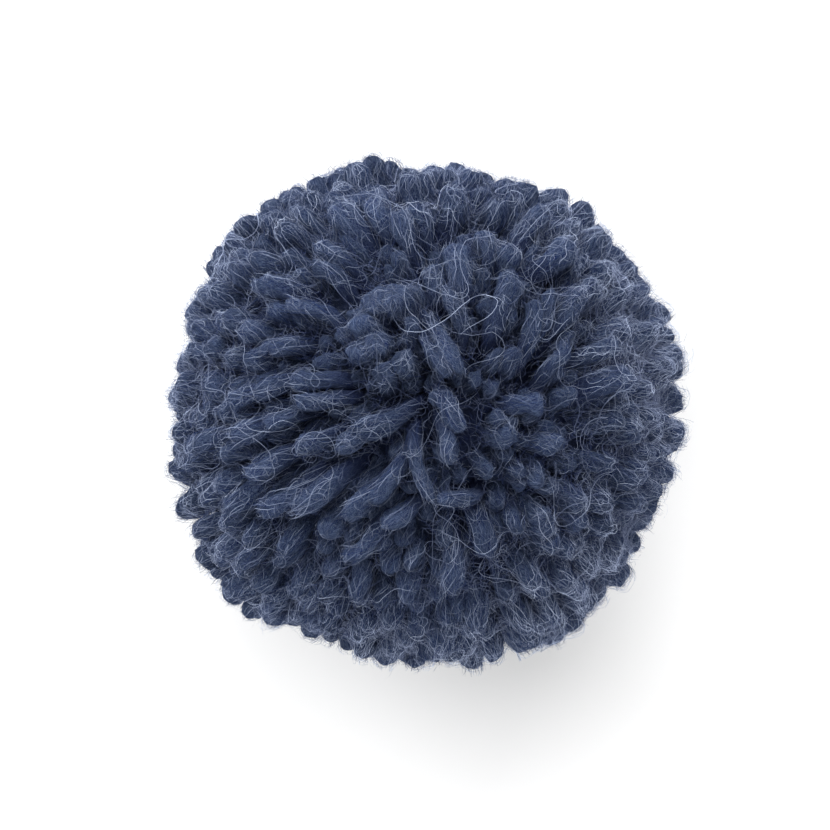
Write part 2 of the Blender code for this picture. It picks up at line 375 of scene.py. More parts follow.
def laid_ends(laid):
    """Directions of the tips of the strands that lie over others, and of where they come up."""
    return seen_from_above(laid[:, 0], laid[:, 1]), seen_from_above(laid[:, 2], laid[:, 3])


def strand_ways(count, chance):
    """Directions of the tips, unevenly spread."""
    numbers = np.arange(count) + 0.5
    fall = np.arccos(1 - 2 * numbers / count)
    turn = numbers * GOLDEN_ANGLE
    ways = np.stack((np.cos(turn) * np.sin(fall), np.sin(turn) * np.sin(fall), np.cos(fall)), axis=1)
    return unit(ways + chance.uniform(-1, 1, ways.shape) * math.sqrt(4 * math.pi / count) * SPREAD)


def shortfall(ways, chance):
    """How far each strand stops short of the trim: a little, or deep under its neighbours."""
    swept = np.minimum(row_values(SWEPT_SHARE, bearings(ways), 360), 1)
    surfacing = 1 - (1 - row_values(SURFACING, from_bundle_end(ways))) * swept
    deep = chance.uniform(*BURIED, len(ways)) * MM
    return np.where(chance.random(len(ways)) < surfacing, 0, deep)


def pressed_down(ways, laid):
    """How much lower the strands end in the openings and under the strands that lie over them."""
    across, up, reach = np.array(OPENINGS).T
    apart = reaches_off(ways[:, None], seen_from_above(across, up), reach)
    deep = OPENING_DEPTH * np.exp(-apart * apart).max(axis=1)
    tips, starts = laid_ends(laid)
    span = tips - starts
    share = np.sum((ways[:, None] - starts) * span, axis=-1) / np.sum(span * span, axis=-1)
    nearest = starts + span * np.clip(share, 0.2, 1.0)[..., None]
    aside = np.linalg.norm(ways[:, None] - nearest, axis=-1) * TRIM_RADIUS
    covered = np.any(aside < laid[:, 4] * MM * 0.5 + COVERED_MARGIN, axis=1)
    return np.maximum(deep, np.where(covered, COVERED_DEPTH, 0))


def lay_over(laid, chance):
    """The paths of the strands that lie over their neighbours, and how far each stands out of the trim."""
    tips, starts = laid_ends(laid)
    lying = np.clip(np.linalg.norm(tips - starts, axis=1) * TRIM_RADIUS / LYING_LENGTH, 0, 1)
    uneven = chance.uniform(-LAID_UNEVEN, LAID_UNEVEN, len(laid))
    extra = (LAID_PROUD - LAID_SUNK * lying + uneven) * MM
    heights = np.linspace(0, 1, CONTROLS)
    rise = heights + (row_values(LAID_RISE, heights) - heights) * lying[:, None]
    over = row_values(LAID_OVER, heights)[None, :, None]
    bow = np.cross(starts, tips - starts)[:, None] * chance.normal(0, LAID_BOW, (len(laid), 1, 1))
    bow = bow * np.sin(over.clip(0, 1) * math.pi)
    places = unit(starts[:, None] + (tips - starts)[:, None] * over + bow)
    full = trimmed_radius(places) + extra[:, None]
    radii = ROOT_RADIUS + (full - ROOT_RADIUS) * rise
    return MIDDLE + places * radii[..., None], extra


def comb(ways, extra, chance):
    """The strands' paths from root to tip, before they press on each other."""
    heights = np.linspace(0, 1, CONTROLS)
    lean = chance.normal(0, 1, len(ways)) * row_values(OWN_LEAN, from_bundle_end(ways))
    own_lean = np.cross(ways, unit(chance.normal(0, 1, ways.shape))) * lean[:, None]
    swept = sweep(ways) * chance.uniform(*SWEEP_RANGE, (len(ways), 1)) + own_lean
    swept = swept[:, None] * (1 - heights**SWEEP_GROWTH)[None, :, None]
    moved = (sway(ways) + parted(ways))[:, None] * heights[None, :, None]
    places = unit(ways[:, None] - swept + moved)
    full = trimmed_radius(places) + extra[:, None]
    radii = ROOT_RADIUS + (full - ROOT_RADIUS) * heights
    return MIDDLE + places * radii[..., None]


def neighbours(paths, count):
    """The nearest strands to each, by where their outer halves are."""
    ways = unit(paths[:, CONTROLS * 3 // 4] - MIDDLE)
    nearness = ways @ ways.T
    np.fill_diagonal(nearness, -1)
    return np.argsort(-nearness, axis=1)[:, :count]


def press_apart(paths, half_thickness, freedom, extra):
    """Moves strands that lie through each other apart. Their roots stay and their tips stay trimmed."""
    near = neighbours(paths, PUSHED_BY)
    give = (np.linspace(0, 1, CONTROLS) ** 0.7)[None, :, None] * freedom[:, None, None]
    for _ in range(PUSH_ROUNDS):
        apart = paths[:, None, :, None, :] - paths[near][:, :, None, :, :]
        distance = np.linalg.norm(apart, axis=-1)
        wanted = half_thickness[:, None, :, None] + half_thickness[near][:, :, None, :]
        overlap = np.maximum(wanted * TOUCHING - distance, 0)
        push = apart / np.maximum(distance, 1e-6)[..., None] * overlap[..., None]
        paths = paths + push.sum(axis=(1, 3)) * give * PUSH_STEP
        bend = paths[:, :-2] + paths[:, 2:] - 2 * paths[:, 1:-1]
        paths[:, 1:-1] += bend * PUSH_STEP * freedom[:, None, None]
        tips = paths[:, -1] - MIDDLE
        paths[:, -1] = MIDDLE + unit(tips) * (trimmed_radius(unit(tips)) + extra)[:, None]
        paths[..., 2] = np.maximum(paths[..., 2], 0.4 * MM)
    return paths


def through(controls, stations):
    """Points on a smooth curve through the control points, at shares of its length."""
    last = controls.shape[1] - 1
    place = np.array(stations) * last
    first = np.minimum(place.astype(int), last - 1)
    u = (place - first)[None, :, None]
    before = controls[:, np.maximum(first - 1, 0)]
    start, end = controls[:, first], controls[:, first + 1]
    after = controls[:, np.minimum(first + 2, last)]
    slope_in, slope_out = (end - before) / 2, (after - start) / 2
    return (
        start * (2 * u**3 - 3 * u**2 + 1)
        + end * (3 * u**2 - 2 * u**3)
        + slope_in * (u**3 - 2 * u**2 + u)
        + slope_out * (u**3 - u**2)
    )


@functools.lru_cache
def pile(count, thickness, unevenness, seed):
    """The strands of the ball: paths, half thicknesses and tints, worked out once."""
    chance = np.random.default_rng(seed)
    laid = np.array(LAID)
    ways = strand_ways(count - len(laid), chance)
    extra = chance.normal(0, 1, len(ways)).clip(-TRIM_LIMIT, TRIM_LIMIT) * unevenness
    extra -= np.maximum(shortfall(ways, chance), pressed_down(ways, laid))
    laid_paths, laid_extra = lay_over(laid, chance)
    controls = np.concatenate((comb(ways, extra, chance), laid_paths))
    extra = np.concatenate((extra, laid_extra))
    bulk = np.concatenate((chance.uniform(*BULK_RANGE, len(ways)) * thickness, laid[:, 4] * MM)) / 2
    freedom = np.where(np.arange(len(bulk)) < len(ways), 1.0, LAID_FREEDOM)
    shares = np.linspace(0, 1, CONTROLS)
    controls = press_apart(controls, bulk[:, None] * row_values(THICKNESS, shares), freedom, extra)
    kinks = chance.normal(0, KINK, controls.shape) * shares[None, :, None]
    kinks[:, -1] *= 0.4
    paths = through(controls + kinks, STATIONS)
    paths[..., 2] = np.maximum(paths[..., 2], 0.3 * MM)
    uneven = chance.normal(1, 0.06, (len(bulk), len(STATIONS)))
    half_thickness = bulk[:, None] * row_values(THICKNESS, STATIONS) * uneven
    tips = unit(paths[:, -1] - MIDDLE)
    level = np.hypot(tips[:, 0], tips[:, 1])[:, None]
    half_thickness *= 1 + RIM_FLARE * level**3 * np.interp(STATIONS, (0.6, 0.93), (0.0, 1.0))
    clumps = waves_over(tips, TRIM_RADIUS, CLUMP)[:, 0]
    tints = TINT_OWN * chance.random(len(bulk)) + TINT_BASE + TINT_CLUMPS * clumps
    return paths, half_thickness, np.clip(tints, 0, 1)


def lengths_along(paths):
    """How far along its path each point lies, in millimetres."""
    steps = np.linalg.norm(np.diff(paths, axis=1), axis=2)
    return np.concatenate((np.zeros((len(paths), 1)), np.cumsum(steps, axis=1)), axis=1) / MM


def linked(name, data):
    """A new object in the scene, at the origin."""
    item = bpy.data.objects.new(name, data)
    bpy.context.collection.objects.link(item)
    return item


def store_numbers(mesh, label, values):
    """One number for each of a mesh's points."""
    attribute = mesh.attributes.new(label, "FLOAT", "POINT")
    attribute.data.foreach_set("value", np.asarray(values, np.float32).ravel())


def guide_object(name, paths, numbers):
    """A mesh of loose lines, one for each path, with a number for each point in each attribute."""
    count, size = paths.shape[:2]
    starts = np.arange(count * size).reshape(count, size)
    edges = np.stack((starts[:, :-1], starts[:, 1:]), axis=-1).reshape(-1, 2)
    mesh = bpy.data.meshes.new(name)
    mesh.from_pydata(paths.reshape(-1, 3), edges, [])
    for label, values in numbers.items():
        store_numbers(mesh, label, np.broadcast_to(values, (count, size)))
    return linked(name, mesh)


def grown(name, guide, tree, values):
    """Runs a tree on a guide and keeps the result as a plain mesh object at the origin."""
    modifier = guide.modifiers.new(tree.name, "NODES")
    modifier.node_group = tree
    for socket in tree.interface.items_tree:
        if socket.in_out == "INPUT" and socket.name in values:
            modifier[socket.identifier] = values[socket.name]
    guide.update_tag()
    evaluated = guide.evaluated_get(bpy.context.evaluated_depsgraph_get())
    mesh = bpy.data.meshes.new_from_object(evaluated)
    mesh.name = name
    guide_mesh = guide.data
    bpy.data.objects.remove(guide)
    bpy.data.meshes.remove(guide_mesh)
    return linked(name, mesh)


def seat(piece):
    """Ties a finished piece to the ball, in place of its plain solid."""
    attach(piece, BODY)
    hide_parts(NODE)


class Tree:
    """A node tree that is written as a list of steps."""

    def __init__(self, tree):
        self.tree = tree

    def add(self, kind, inputs, output=0, **settings):
        """Adds a node with its settings, fills its inputs, and gives one output."""
        node = self.tree.nodes.new(kind)
        for name, value in settings.items():
            setattr(node, name, value)
        for key, value in inputs.items():
            if isinstance(value, bpy.types.NodeSocket):
                self.tree.links.new(value, node.inputs[key])
            else:
                node.inputs[key].default_value = value
        return node.outputs[output]

    def math(self, operation, first, second=0.0, third=0.0):
        return self.add("ShaderNodeMath", {0: first, 1: second, 2: third}, operation=operation)

    def vector(self, operation, first, second=(0.0, 0.0, 0.0)):
        result = "Value" if operation == "LENGTH" else "Vector"
        return self.add("ShaderNodeVectorMath", {0: first, 1: second}, result, operation=operation)

    def scaled(self, vector, amount):
        return self.add("ShaderNodeVectorMath", {0: vector, "Scale": amount}, operation="SCALE")

    def upright(self, height):
        """A vector along Z."""
        return self.add("ShaderNodeCombineXYZ", {"Z": height})


class GeometryTree(Tree):
    """A geometry node tree that turns guides into one piece."""

    def __init__(self, name, sockets):
        super().__init__(bpy.data.node_groups.new(name, "GeometryNodeTree"))
        sockets = {"Geometry": ("Guides",), **sockets, "Material": ("Material",)}
        for kind, labels in sockets.items():
            for label in labels:
                self.tree.interface.new_socket(label, in_out="INPUT", socket_type="NodeSocket" + kind)
        self.tree.interface.new_socket("Geometry", in_out="OUTPUT", socket_type="NodeSocketGeometry")
        self.given = self.tree.nodes.new("NodeGroupInput").outputs
        self.curves = self.add("GeometryNodeMeshToCurve", {0: self.given["Guides"]})

    def position(self):
        return self.add("GeometryNodeInputPosition", {})

    def attribute(self, name, kind="FLOAT"):
        return self.add("GeometryNodeInputNamedAttribute", {"Name": name}, data_type=kind)

    def store(self, geometry, name, value, kind="FLOAT", domain="POINT"):
        inputs = {"Geometry": geometry, "Name": name, "Value": value}
        return self.add("GeometryNodeStoreNamedAttribute", inputs, data_type=kind, domain=domain)

    def random(self, low, high, salt):
        seed = self.math("ADD", self.given["Seed"], float(salt))
        return self.add("FunctionNodeRandomValue", {2: low, 3: high, "Seed": seed}, 1, data_type="FLOAT")

    def uneven(self, place, fineness, detail):
        """A smooth random vector, each part of it between minus and plus a half."""
        inputs = {"Vector": place, "Scale": fineness, "Detail": detail}
        colour = self.add("ShaderNodeTexNoise", inputs, "Color")
        return self.vector("SUBTRACT", colour, (0.5, 0.5, 0.5))

    def moved(self, geometry, offset):
        return self.add("GeometryNodeSetPosition", {"Geometry": geometry, "Offset": offset})

    def swept(self, curves, profile, width):
        inputs = {"Curve": curves, "Profile Curve": profile, "Scale": width, "Fill Caps": True}
        return self.add("GeometryNodeCurveToMesh", inputs)

    def ribboned(self, curves, face, width):
        """A flat ribbon along each curve that faces a given way."""
        facing = self.add("GeometryNodeSetCurveNormal", {"Curve": curves, "Normal": face}, mode="FREE")
        across = self.add("GeometryNodeCurvePrimitiveLine", {"Start": (0, -0.5, 0), "End": (0, 0.5, 0)})
        return self.swept(facing, across, width)

    def finish(self, mesh):
        """Ends the tree: above the floor, smooth, realized, with its material."""
        height = self.add("ShaderNodeSeparateXYZ", {0: self.position()}, "Z")
        lift = self.math("MAXIMUM", self.math("SUBTRACT", FLOOR_CLEARANCE, height), 0.0)
        above = self.moved(mesh, self.upright(lift))
        smooth = self.add("GeometryNodeSetShadeSmooth", {"Geometry": above})
        realized = self.add("GeometryNodeRealizeInstances", {"Geometry": smooth})
        given = {"Geometry": realized, "Material": self.given["Material"]}
        finished = self.add("GeometryNodeSetMaterial", given)
        output = self.tree.nodes.new("NodeGroupOutput")
        self.tree.links.new(finished, output.inputs[0])
        return self.tree


class ShaderTree(Tree):
    """A shader node tree."""

    def attribute(self, name, output="Fac"):
        return self.add("ShaderNodeAttribute", {}, output, attribute_name=name)

    def mixed(self, factor, first, second, clamped=True):
        """A colour between two colours."""
        inputs = {"Factor": factor, 6: first, 7: second}
        return self.add("ShaderNodeMix", inputs, 2, data_type="RGBA", clamp_factor=clamped)

    def ranged(self, value, low, high, to_low, to_high):
        inputs = {"Value": value, 1: low, 2: high, 3: to_low, 4: to_high}
        return self.add("ShaderNodeMapRange", inputs)


def strand_tree():
    """Sweeps a round section along each guide, with grooves and lumps."""
    tree = GeometryTree("Yarn Strands", {"Int": ("Sides",), "Float": ("Grooves", "Lump", "Lump Size")})
    given = tree.given
    curves = tree.store(tree.curves, "centre", tree.position(), "FLOAT_VECTOR")
    circle = tree.add("GeometryNodeCurvePrimitiveCircle", {"Resolution": given["Sides"], "Radius": 1.0})
    profile = tree.store(circle, "around", tree.position(), "FLOAT_VECTOR")
    tube = tree.swept(curves, profile, tree.attribute("radius"))
    position = tree.position()
    from_centre = tree.vector("SUBTRACT", position, tree.attribute("centre", "FLOAT_VECTOR"))
    drawn = tree.math("MULTIPLY", tree.attribute("along"), 0.10)
    apart = tree.math("MULTIPLY_ADD", tree.attribute("tint"), STRAND_APART, drawn)
    place = tree.vector("ADD", tree.attribute("around", "FLOAT_VECTOR"), tree.upright(apart))
    groove = tree.add("ShaderNodeTexNoise", {"Vector": place, "Scale": 1.4, "Detail": 1.0}, "Fac")
    deep = tree.math("MULTIPLY", tree.math("SUBTRACT", groove, 0.5), given["Grooves"])
    tube = tree.moved(tube, tree.scaled(from_centre, deep))
    lumps = tree.uneven(position, tree.math("DIVIDE", 1.0, given["Lump Size"]), 2.0)
    return tree.finish(tree.moved(tube, tree.scaled(lumps, tree.math("MULTIPLY", given["Lump"], 2.0))))


def fibre_tree():
    """Lays ribbons along each guide, round its surface, and lifts their free ends off it."""
    numbers = (*FIBRES_ALONG, "Width", "Stray", "Turn Rate")
    whole = ("Fibres", "Points", "Seed")
    sockets = {"Int": whole, "Float": [label for label in numbers if label not in whole]}
    tree = GeometryTree("Fibres Along Strands", sockets)
    given = tree.given
    repeated = {"Geometry": tree.curves, "Amount": given["Fibres"]}
    copies = tree.add("GeometryNodeDuplicateElements", repeated, domain="SPLINE")
    sunk = tree.math("SUBTRACT", tree.math("SQRT", tree.random(0.0, 1.0, 7)), 1.0)
    for label, value in (
        ("turn", tree.random(0.0, math.tau, 1)),
        ("loose", tree.math("POWER", tree.random(0.0, 1.0, 2), 1.8)),
        ("shade", tree.random(0.0, 1.0, 3)),
        ("veer", tree.random(-1.0, 1.0, 4)),
        ("begin", tree.random(given["Deepest Start"], given["Highest Start"], 5)),
        ("ring", tree.math("MULTIPLY_ADD", sunk, given["Inside"], 1.0)),
    ):
        copies = tree.store(copies, label, value, domain="CURVE")
    begin = tree.attribute("begin")
    end = tree.math("ADD", begin, tree.random(given["Shortest"], given["Longest"], 6))
    part = {0: copies, 2: begin, 3: tree.math("MINIMUM", end, 1.0)}
    cut = tree.add("GeometryNodeTrimCurve", part, mode="FACTOR")
    lines = tree.add("GeometryNodeResampleCurve", {"Curve": cut, "Count": given["Points"]}, mode="COUNT")
    factor = tree.add("GeometryNodeSplineParameter", {}, "Factor")
    normal = tree.add("GeometryNodeInputNormal", {})
    side = tree.vector("CROSS_PRODUCT", tree.add("GeometryNodeInputTangent", {}), normal)
    slant = tree.math("MULTIPLY", tree.attribute("veer"), given["Stray"])
    turning = tree.math("MULTIPLY", tree.attribute("along"), given["Turn Rate"])
    angle = tree.math("ADD", tree.attribute("turn"), turning)
    angle = tree.math("ADD", angle, tree.math("MULTIPLY", slant, factor))
    across = tree.scaled(normal, tree.math("COSINE", angle))
    up = tree.scaled(side, tree.math("SINE", angle))
    lines = tree.store(lines, "outward", tree.vector("ADD", across, up), "FLOAT_VECTOR")
    rise = tree.math("MULTIPLY", tree.math("MULTIPLY", factor, factor), tree.attribute("loose"))
    lifted = tree.math("MULTIPLY", rise, given["Lift"])
    proud = tree.math("MULTIPLY_ADD", tree.attribute("shade"), 0.18, 1.0)
    seated = tree.math("MULTIPLY", tree.attribute("thickness"), tree.attribute("ring"))
    seated = tree.math("MULTIPLY", seated, proud)
    outward = tree.attribute("outward", "FLOAT_VECTOR")
    offset = tree.scaled(outward, tree.math("ADD", seated, lifted))
    apart = tree.upright(tree.math("MULTIPLY", tree.attribute("turn"), FIBRE_APART))
    crimp = tree.uneven(tree.vector("ADD", tree.position(), apart), CRIMP_FINENESS, 0.0)
    offset = tree.vector("ADD", offset, tree.scaled(crimp, given["Crimp"]))
    off_middle = tree.math("ABSOLUTE", tree.math("MULTIPLY_ADD", factor, 2.0, -1.0))
    taper = tree.math("SUBTRACT", 1.0, tree.math("POWER", off_middle, 4.0))
    width = tree.math("MULTIPLY", given["Width"], tree.math("MULTIPLY_ADD", taper, 0.85, 0.15))
    return tree.finish(tree.ribboned(tree.moved(lines, offset), outward, width))


def draped_tree():
    """Lets lines that hover over the pile fall on it, and pulls them taut across its gaps."""
    lengths = ("Deepest", "Clearance", "Width")
    sockets = {"Object": ("Pile",), "Vector": ("Middle",), "Float": lengths, "Int": ("Tautness",)}
    tree = GeometryTree("Draped Hairs", sockets)
    given = tree.given
    position = tree.position()
    from_middle = tree.vector("SUBTRACT", position, given["Middle"])
    way = tree.vector("NORMALIZE", from_middle)
    ray = {
        "Target Geometry": tree.add("GeometryNodeObjectInfo", {"Object": given["Pile"]}, "Geometry"),
        "Source Position": position,
        "Ray Direction": tree.scaled(way, -1.0),
        "Ray Length": 1.0,
    }
    fall = tree.math("MINIMUM", tree.add("GeometryNodeRaycast", ray, "Hit Distance"), given["Deepest"])
    reached = tree.math("SUBTRACT", tree.vector("LENGTH", from_middle), fall)
    curves = tree.store(tree.curves, "way", way, "FLOAT_VECTOR")
    curves = tree.store(curves, "reached", reached)
    taut = tree.attribute("reached")
    for _ in range(3):
        blur = {"Value": taut, "Iterations": given["Tautness"]}
        taut = tree.math("MAXIMUM", tree.add("GeometryNodeBlurAttribute", blur, data_type="FLOAT"), taut)
    hover = tree.math("MULTIPLY", tree.attribute("hover"), given["Clearance"])
    way = tree.attribute("way", "FLOAT_VECTOR")
    place = tree.vector("ADD", tree.scaled(way, tree.math("ADD", taut, hover)), given["Middle"])
    fallen = tree.add("GeometryNodeSetPosition", {"Geometry": curves, "Position": place})
    width = tree.math("MULTIPLY", given["Width"], tree.attribute("slimness"))
    return tree.finish(tree.ribboned(fallen, tree.vector("ADD", way, (0.0, 0.0, 0.8)), width))


def spun_place(tree, given, spin, salt):
    """Coordinates that run along a strand at a slant, drawn out lengthways."""
    turned = {"Vector": given["Around"], "Angle": tree.math("MULTIPLY", given["Along"], spin)}
    spun = tree.add("ShaderNodeVectorRotate", turned, rotation_type="Z_AXIS")
    drawn = tree.math("ADD", tree.math("MULTIPLY", given["Along"], given["Draw"]), salt)
    apart = tree.math("MULTIPLY_ADD", given["Strand"], STRAND_APART, drawn)
    return tree.vector("ADD", spun, tree.upright(apart))


def fine_lines(tree, place, fineness):
    """Thin winding lines: where a drawn-out noise passes its middle."""
    inputs = {"Vector": place, "Scale": fineness, "Detail": 1.0, "Roughness": 0.6, "Distortion": 0.4}
    away = tree.math("SUBTRACT", tree.add("ShaderNodeTexNoise", inputs, "Fac"), 0.5)
    return tree.ranged(tree.math("ABSOLUTE", away), 0.0, 0.09, 1.0, 0.0)


def spun_fibre_group():
    """Fine fibres that cross along a strand at its slack spin, and the hollows between its plies."""
    if "Spun Fibre" in bpy.data.node_groups:
        return bpy.data.node_groups["Spun Fibre"]
    group = bpy.data.node_groups.new("Spun Fibre", "ShaderNodeTree")
    group.interface.new_socket("Around", in_out="INPUT", socket_type="NodeSocketVector")
    for label, default in (("Along", 0.0), ("Strand", 0.0), ("Draw", 0.08), ("Fineness", 9.0)):
        socket = group.interface.new_socket(label, in_out="INPUT", socket_type="NodeSocketFloat")
        socket.default_value = default
    for label in ("Fibre", "Hollow"):
        group.interface.new_socket(label, in_out="OUTPUT", socket_type="NodeSocketFloat")
    tree = ShaderTree(group)
    given = group.nodes.new("NodeGroupInput").outputs
    lines = 0.0
    for spin, salt, share in ((0.30, 0.0, 1.0), (-0.26, 11.0, 0.9), (0.04, 23.0, 1.25)):
        fineness = tree.math("MULTIPLY", given["Fineness"], share)
        lines = tree.math("ADD", lines, fine_lines(tree, spun_place(tree, given, spin, salt), fineness))
    place = spun_place(tree, given, 0.05, 37.0)
    inputs = {"Vector": place, "Scale": 2.2, "Detail": 2.0, "Distortion": 0.3}
    output = group.nodes.new("NodeGroupOutput")
    group.links.new(tree.math("DIVIDE", lines, 2.0), output.inputs["Fibre"])
    group.links.new(tree.add("ShaderNodeTexNoise", inputs, "Fac"), output.inputs["Hollow"])
    return group


def new_material(name, constants):
    """A material, its tree, and its shader's sockets, some of them set."""
    material = bpy.data.materials.new(name)
    material.use_nodes = True
    sockets = material.node_tree.nodes["Principled BSDF"].inputs
    for label, value in constants.items():
        sockets[label].default_value = value
    return material, ShaderTree(material.node_tree), sockets


def sheened(roughness, sheen, sheen_tint):
    """What a shader needs for hazy wool."""
    return {
        "Roughness": roughness,
        "Specular IOR Level": 0.06,
        "Sheen Weight": sheen,
        "Sheen Roughness": 0.45,
        "Sheen Tint": (*sheen_tint, 1.0),
    }


def strand_material(name, colours):
    """The body of a strand: fine crossing fibres, with painted shade, darker in its hollows and towards its
    root.
    """
    material, tree, sockets = new_material(name, sheened(0.95, 0.06, (0.45, 0.58, 0.95)))
    tint, height = tree.attribute("tint"), tree.attribute("height")
    along = tree.attribute("along")
    surface = {"Around": tree.attribute("around", "Vector"), "Along": along, "Strand": tint}
    fibre = tree.add("ShaderNodeGroup", surface, "Fibre", node_tree=spun_fibre_group())
    hollow = fibre.node.outputs["Hollow"]
    # Painted shade: the hollows between the plies take the darker hollow colour.
    base = tree.mixed(tree.ranged(hollow, 0.36, 0.62, 0.0, 1.0), colours["hollow_shade"], colours["body"])
    bright = tree.mixed(fibre, base, colours["light"])
    tone = tree.ranged(tint, 0.0, 1.0, 0.72, 1.22)
    # Painted shade: darker towards the strand's root.
    root_shade = tree.ranged(height, 0.45, 0.95, 0.62, 1.0)
    # Painted shade: a little darker at the cut end, where the fibres are seen end-on.
    end = tree.ranged(height, 0.90, CLOSED_AT, 1.0, 0.88)
    shaded = tree.scaled(bright, tree.math("MULTIPLY", tone, tree.math("MULTIPLY", root_shade, end)))
    # Painted shade: a strand's lower part, down between the strands, takes the deep colour.
    colour = tree.mixed(tree.ranged(height, 0.50, 0.80, 1.0, 0.0), shaded, colours["deep"])
    tree.tree.links.new(colour, sockets["Base Color"])
    relief = tree.math("MULTIPLY_ADD", hollow, 2.0, fibre)
    bump = tree.add("ShaderNodeBump", {"Strength": 1.0, "Distance": 0.3 * MM, "Height": relief})
    tree.tree.links.new(bump, sockets["Normal"])
    return material


def fibre_material(name, colours, shades, sheen, draped=True):
    """Single fibres, each of its own shade between the strand's colour and its pale tone."""
    material, tree, sockets = new_material(name, sheened(0.8, sheen, (0.50, 0.62, 0.95)))
    rarely = tree.math("POWER", tree.attribute("shade"), 1.7)
    pick = tree.math("MAXIMUM", tree.ranged(rarely, 0.0, 1.0, *shades), 0.0)
    colour = tree.mixed(pick, colours["body"], colours["pale"], clamped=False)
    # The tint holds each fibre's own tone and the painted rim light.
    colour = tree.scaled(colour, tree.ranged(tree.attribute("tint"), 0.0, 1.0, 0.72, 1.30))
    if draped:
        # Painted shade: hairs that lie low in the gaps take on the deep colour.
        above_the_shade = tree.ranged(tree.attribute("reached"), 41.5 * MM, 48.0 * MM, 0.10, 1.0)
        colour = tree.mixed(above_the_shade, colours["deep"], colour)
    tree.tree.links.new(colour, sockets["Base Color"])
    return material


def headings_along(ways, along_pile, chance):
    """Which way each hair sets out: some along the pile, the others any way."""
    flow = unit(sweep(ways))
    slant = np.where(chance.random(len(ways)) < along_pile, 0.35, 3.0) * chance.normal(0, 1, len(ways))
    slant = (slant + np.where(chance.random(len(ways)) < 0.5, 0, math.pi))[:, None]
    return unit(flow * np.cos(slant) + np.cross(ways, flow) * np.sin(slant))


def wandering_lines(chance, starts, lie):
    """Lines that wander over a ball of radius 1 with a smoothly changing bend, like crimped wool."""
    count, ways = len(starts), unit(starts)
    heading = headings_along(ways, lie.along_pile, chance)
    steady = chance.normal(0, lie.bend, (count, 1))
    swing = np.abs(chance.normal(lie.curl, lie.curl * 0.5, (count, 1)))
    pace = chance.uniform(0.6, 1.4, (count, 1)) * lie.rate
    phase = chance.uniform(0, math.tau, (count, 1))
    length = lie.step * chance.uniform(0.6, 1.5, (count, 1))
    lines = np.empty((count, lie.points, 3))
    for number in range(lie.points):
        lines[:, number] = ways
        wave = np.sin(phase + pace * number) + 0.5 * np.sin(2 * phase + 2.3 * pace * number)
        turn = (steady + swing * wave) * length
        heading = heading * np.cos(turn) + np.cross(ways, heading) * np.sin(turn)
        ways = unit(ways + heading * length / (TRIM_RADIUS / MM))
        heading = unit(heading - ways * np.sum(heading * ways, axis=1)[:, None])
    return lines


def fuzziness(ways):
    """How likely a curl of fuzz is to lie there: most round the rim and towards the lower right."""
    level = np.hypot(ways[:, 0], ways[:, 1])
    towards = np.clip(ways @ direction(335, 80), 0, 1)
    share = 0.46 + 0.35 * level**4 + 0.30 * towards**2 + 0.7 * swell(ways, 105, 20, 8)
    share = np.where(ways[:, 2] < -0.1, share * 0.6, share)
    return np.where(ways[:, 2] > -0.86, share, 0)


def straying(ways):
    """How likely a long loose hair is to start there: most on the sides, and towards the lower right."""
    level = np.hypot(ways[:, 0], ways[:, 1])
    towards = np.clip(ways @ direction(340, 70), 0, 1)
    return np.where(ways[:, 2] > LOWEST_HAIR, 0.12 + 0.3 * level**2 + 0.45 * towards**2, 0)


def felted(ways):
    """How likely matted fibre is to lie there."""
    share = np.zeros(len(ways))
    for bearing, from_top, reach, density in FELT:
        share = np.maximum(share, density * swell(ways, bearing, from_top, reach))
    return share


def scattered(chance, count, likelihood):
    """Directions over the ball, more of them where they are likelier."""
    ways = np.empty((0, 3))
    while len(ways) < count:
        tried = unit(chance.normal(0, 1, (count, 3)))
        ways = np.concatenate((ways, tried[chance.random(count) < likelihood(tried)]))
    return ways[:count]


def painted_rim_light(ways, numbers):
    """Moves random numbers up towards the rim and down at the crown: painted light, paler round the rim
    where hairs catch light at a slant.
    """
    return 0.4 * numbers + 0.6 * (ways[:, 0] ** 2 + ways[:, 1] ** 2)


def tapered(points):
    """Full width along a hair, slimmer at its two ends."""
    return 1 - 0.8 * np.abs(np.linspace(-1, 1, points)) ** 5


def add_draped_hairs(name, chance, starts, lie, width, material):
    """Adds a piece of hairs of one kind that fall on the pile."""
    lines = wandering_lines(chance, starts, lie)
    numbers = {
        "hover": np.abs(chance.normal(0.6, 0.5, (len(lines), 1))),
        "slimness": tapered(lie.points) * chance.uniform(0.7, 1.2, (len(lines), 1)),
        "shade": chance.random((len(lines), 1)),
        # Painted light: hairs paler round the rim.
        "tint": painted_rim_light(lines[:, 0], chance.random(len(lines)))[:, None],
    }
    guide = guide_object(name + "_guides", MIDDLE + lines * HAIRS_FALL_FROM, numbers)
    values = {
        "Pile": bpy.data.objects["yarn_strands"],
        "Middle": MIDDLE,
        "Deepest": HAIRS_REACH_DOWN,
        "Clearance": lie.clearance * MM,
        "Tautness": lie.tautness,
        "Width": width * lie.width,
        "Material": material,
    }
    seat(grown(name, guide, draped_tree(), values))


